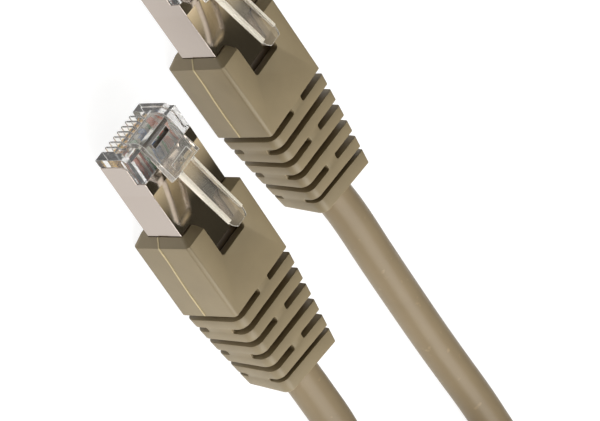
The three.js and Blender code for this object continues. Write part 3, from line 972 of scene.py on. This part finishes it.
class PATCHCABLE_OT_latches(bpy.types.Operator):
    """Models the sprung latch: its root curved over the nose, its windowed ramp and its ribbed
    tail"""

    bl_idname = "patchcable.latches"
    bl_label = "Latches"

    def execute(self, context):
        half, half_tail, rib = 3.03, 1.69, 0.42
        latch = outline(
            "latch",
            [(-0.62, 6.9)]
            + arc(0.98, 8.4, 1.6, 180, 90, 8)
            + [(3.5, 10.75), (6.05, 11.75), (6.68, 10.52), (0.98, 8.97), (0.43, 8.9)]
            + [(0.41, 8.25), (-0.04, 7.6), (-0.04, 6.9)],
            (-half, half),
            "Y",
        )
        combine(latch, block("window", (0.72, 1.5), (-1.84, 1.84), (8, 12)))
        step = [(4.55, 11.02), (5.55, 11.41), (5.55, 12.2), (4.55, 12.2)]
        combine(latch, outline("step", step, (-1.9, 1.9), "Y"))
        mark = arc(5.05, 0, 0.4, 0, 345, 23)
        combine(latch, outline("ejector_mark", mark, (11.12, 12.2), "Z"))
        plate = outline(
            "plate",
            [(5.6, 10.3), (6.68, 10.52), (11, 12.03), (15.4, 13.72), (16.9, 14.42)]
            + [(16.65, 14.72), (15.4, 14.2), (11, 12.5), (6.5, 11.05), (5.6, 10.9)],
            (-half_tail, half_tail),
            "Y",
        )
        tip = arc(15.4, 0, half_tail - NEAR, -80, 80, 14)
        round_end = [(5, -half_tail)] + tip + [(5, half_tail)]
        combine(plate, outline("round_end", round_end, (9, 16), "Z"), "INTERSECT")
        combine(latch, plate, "UNION")
        rib_side = [(5.8, 10.6), (6.5, 10.8), (11, 12.2), (15.1, 13.8), (15.4, 14.1)]
        rib_side += [(15.3, 14.55), (11, 13.08), (6.3, 11.68), (5.8, 11.6)]
        for side in (-1, 1):
            span = sorted((side * half_tail, side * (half_tail - rib)))
            combine(latch, outline("rib", rib_side, span, "Y"), "UNION")
        soften(latch, 0.12, 30, segments=3)
        root = clear_polycarbonate(
            "clear_polycarbonate_latch_root",
            linear("#fbf9f5"),
            haze=0.12,
            edge_width=0.34,
            ior=1.28,
        )
        tail = clear_polycarbonate(
            "clear_polycarbonate_latch_tail", linear("#f5f0e6"), haze=0.03, edge_width=0.3, ior=1.4
        )
        # The latch's edges get a pale painted highlight, and the walls of its window dark painted
        # shade.
        latch_painted_highlight = painted_light_polycarbonate("polycarbonate_painted_highlight", linear("#fdf6e6"))
        window_painted_shade = painted_light_polycarbonate("polycarbonate_painted_window_shade", linear("#4a3d33"))
        for piece, matrix in place_at_plugs(
            latch, "latch", root, "latch_{}", "latch_lever_{}"
        ):
            paint_faces(piece, matrix, tail, on_latch_tail)
            paint_faces(piece, matrix, latch_painted_highlight, on_latch_edges)
            paint_faces(piece, matrix, window_painted_shade, on_latch_window)
        return {"FINISHED"}


def wire_path(way):
    """The wire from the front wall of the plug back to the cord. In the cord the wires lie closer
    together, in two rows."""
    across = (3.5 - way) * WIRE_PITCH
    bundled = (3.5 - way) * WIRE_PITCH_IN_CORD
    row = CORD_HEIGHT + (0.5 if way % 2 else -0.5)
    fan_start, fan_length, fan_steps, rear = 10.6, 8.9, 6, 21.6
    points = [(x, across, WIRE_HEIGHT) for x in (1.15, 3, 5.3, 9.25)]
    for i in range(fan_steps + 1):
        share = i / fan_steps
        eased = share * share * (3 - 2 * share)
        points.append(
            (
                fan_start + fan_length * share,
                across + (bundled - across) * eased,
                WIRE_HEIGHT + (row - WIRE_HEIGHT) * eased,
            )
        )
    points.append((rear, *points[-1][1:]))
    return points


class PATCHCABLE_OT_wires(bpy.types.Operator):
    """Runs the eight insulated wires over the contacts, and adds the jacket's ends behind them"""

    bl_idname = "patchcable.wires"
    bl_label = "Wires"

    def execute(self, context):
        settings = context.scene.patch_cable
        white = insulation("polyethylene_white", linear("#e8e2d8"))
        colours = {
            name: insulation(f"polyethylene_{name}", linear(value))
            for name, value in WIRE_COLOURS.items()
        }
        for way, (colour, striped) in enumerate(WIRES):
            path = wire_path(way)
            make_active(round_curve("wire", path, WIRE_RADIUS * MM, sides=4, steps=4))
            bpy.ops.object.convert(target="MESH")
            model = context.object
            smooth(model, 60)
            name = f"wire_white_{colour}" if striped else f"wire_{colour}"
            material = white if striped else colours[colour]
            node = f"wire_{way + 1}_{{}}"

            def on_stripe(place, normal):
                """A band along the wire's upper side."""
                _, y, z = min(path, key=lambda point: abs(point[0] - place.x))
                return 0.9 < math.atan2(place.z - z, place.y - y) < 2.0

            for piece, matrix in place_at_plugs(model, name, material, "cable", node):
                if striped:
                    paint_faces(piece, matrix, colours[colour], on_stripe)
        jacket = extruded_vinyl("extruded_vinyl_jacket_end", (*settings.jacket_colour, 1.0))
        tube = bar("jacket", 2.9, (21.9, 43), CORD_HEIGHT, 64)
        soften(tube, 0.1, 60)
        place_at_plugs(tube, "jacket_tube", jacket, "cable", "jacket_end_{}")
        return {"FINISHED"}


class PATCHCABLE_OT_stage(bpy.types.Operator):
    """Adds the pale floor, the soft lights and the dim surroundings"""

    bl_idname = "patchcable.stage"
    bl_label = "Stage"

    def execute(self, context):
        deselect()
        bpy.ops.mesh.primitive_plane_add(size=4, location=(0, 0, 0))
        floor = context.object
        floor.name = "floor"
        material, tree, shader, _ = new_material("pale_floor")
        shader.inputs["Base Color"].default_value = linear("#868686")
        shader.inputs["Roughness"].default_value = 0.9
        shader.inputs["Emission Color"].default_value = linear("#ffffff")
        shader.inputs["Emission Strength"].default_value = 0.9
        floor.data.materials.append(material)
        # Each light's name, its place and size in metres, and its power in watts
        lights = (
            ("key_softbox", (0.72, -0.45, 0.74), 1.0, 18.8),
            ("top_softbox", (-0.1, 0.47, 0.77), 0.5, 1.0),
        )
        for name, place, size, power in lights:
            bpy.ops.object.light_add(type="AREA", location=place)
            light = context.object
            light.name = name
            light.data.size = size
            light.data.energy = power
            light.rotation_euler = (-Vector(place)).to_track_quat("-Z", "Y").to_euler()
        # Dim warm surroundings with one soft pale patch overhead, which the bright metal mirrors.
        world = bpy.data.worlds.new("studio")
        world.use_nodes = True
        tree = world.node_tree
        direction = add_node(tree, "ShaderNodeTexCoord").outputs["Generated"]
        patch = add_node(
            tree,
            "ShaderNodeMapping",
            {"Location": (-0.45, -1.59, -2.49), "Scale": (3.0, 3.0, 3.0)},
            {"Vector": direction},
        )
        share = add_node(
            tree,
            "ShaderNodeTexGradient",
            {"gradient_type": "SPHERICAL"},
            {"Vector": patch.outputs[0]},
        )
        colour = add_node(
            tree,
            "ShaderNodeMix",
            {"data_type": "RGBA", "A": linear("#2d2b23"), "B": linear("#ddd3b2")},
            {"Factor": share.outputs["Fac"]},
        )
        background = tree.nodes["Background"]
        tree.links.new(colour.outputs["Result"], background.inputs["Color"])
        background.inputs["Strength"].default_value = 2.0
        context.scene.world = world
        context.scene.view_settings.view_transform = "Standard"
        return {"FINISHED"}


STEPS = (
    PATCHCABLE_OT_camera,
    PATCHCABLE_OT_cord,
    PATCHCABLE_OT_boots,
    PATCHCABLE_OT_plugs,
    PATCHCABLE_OT_latches,
    PATCHCABLE_OT_wires,
    PATCHCABLE_OT_stage,
)


class PATCHCABLE_PT_panel(bpy.types.Panel):
    """Lists the settings and the steps"""

    bl_idname = "PATCHCABLE_PT_panel"
    bl_label = "Patch cable"
    bl_space_type = "VIEW_3D"
    bl_region_type = "UI"
    bl_category = "Patch cable"

    def draw(self, context):
        settings = context.scene.patch_cable
        for name in PatchCableSettings.__annotations__:
            self.layout.prop(settings, name)
        for step in STEPS:
            self.layout.operator(step.bl_idname)


CLASSES = (PatchCableSettings, *STEPS, PATCHCABLE_PT_panel)


def register():
    for cls in CLASSES:
        bpy.utils.register_class(cls)
    bpy.types.Scene.patch_cable = PointerProperty(type=PatchCableSettings)


def unregister():
    del bpy.types.Scene.patch_cable
    for cls in reversed(CLASSES):
        bpy.utils.unregister_class(cls)


def main():
    register()
    bpy.ops.patchcable.camera()
    bpy.ops.patchcable.cord()
    bpy.ops.patchcable.boots()
    bpy.ops.patchcable.plugs()
    bpy.ops.patchcable.latches()
    bpy.ops.patchcable.wires()
    bpy.ops.patchcable.stage()


if __name__ == "__main__":
    main()
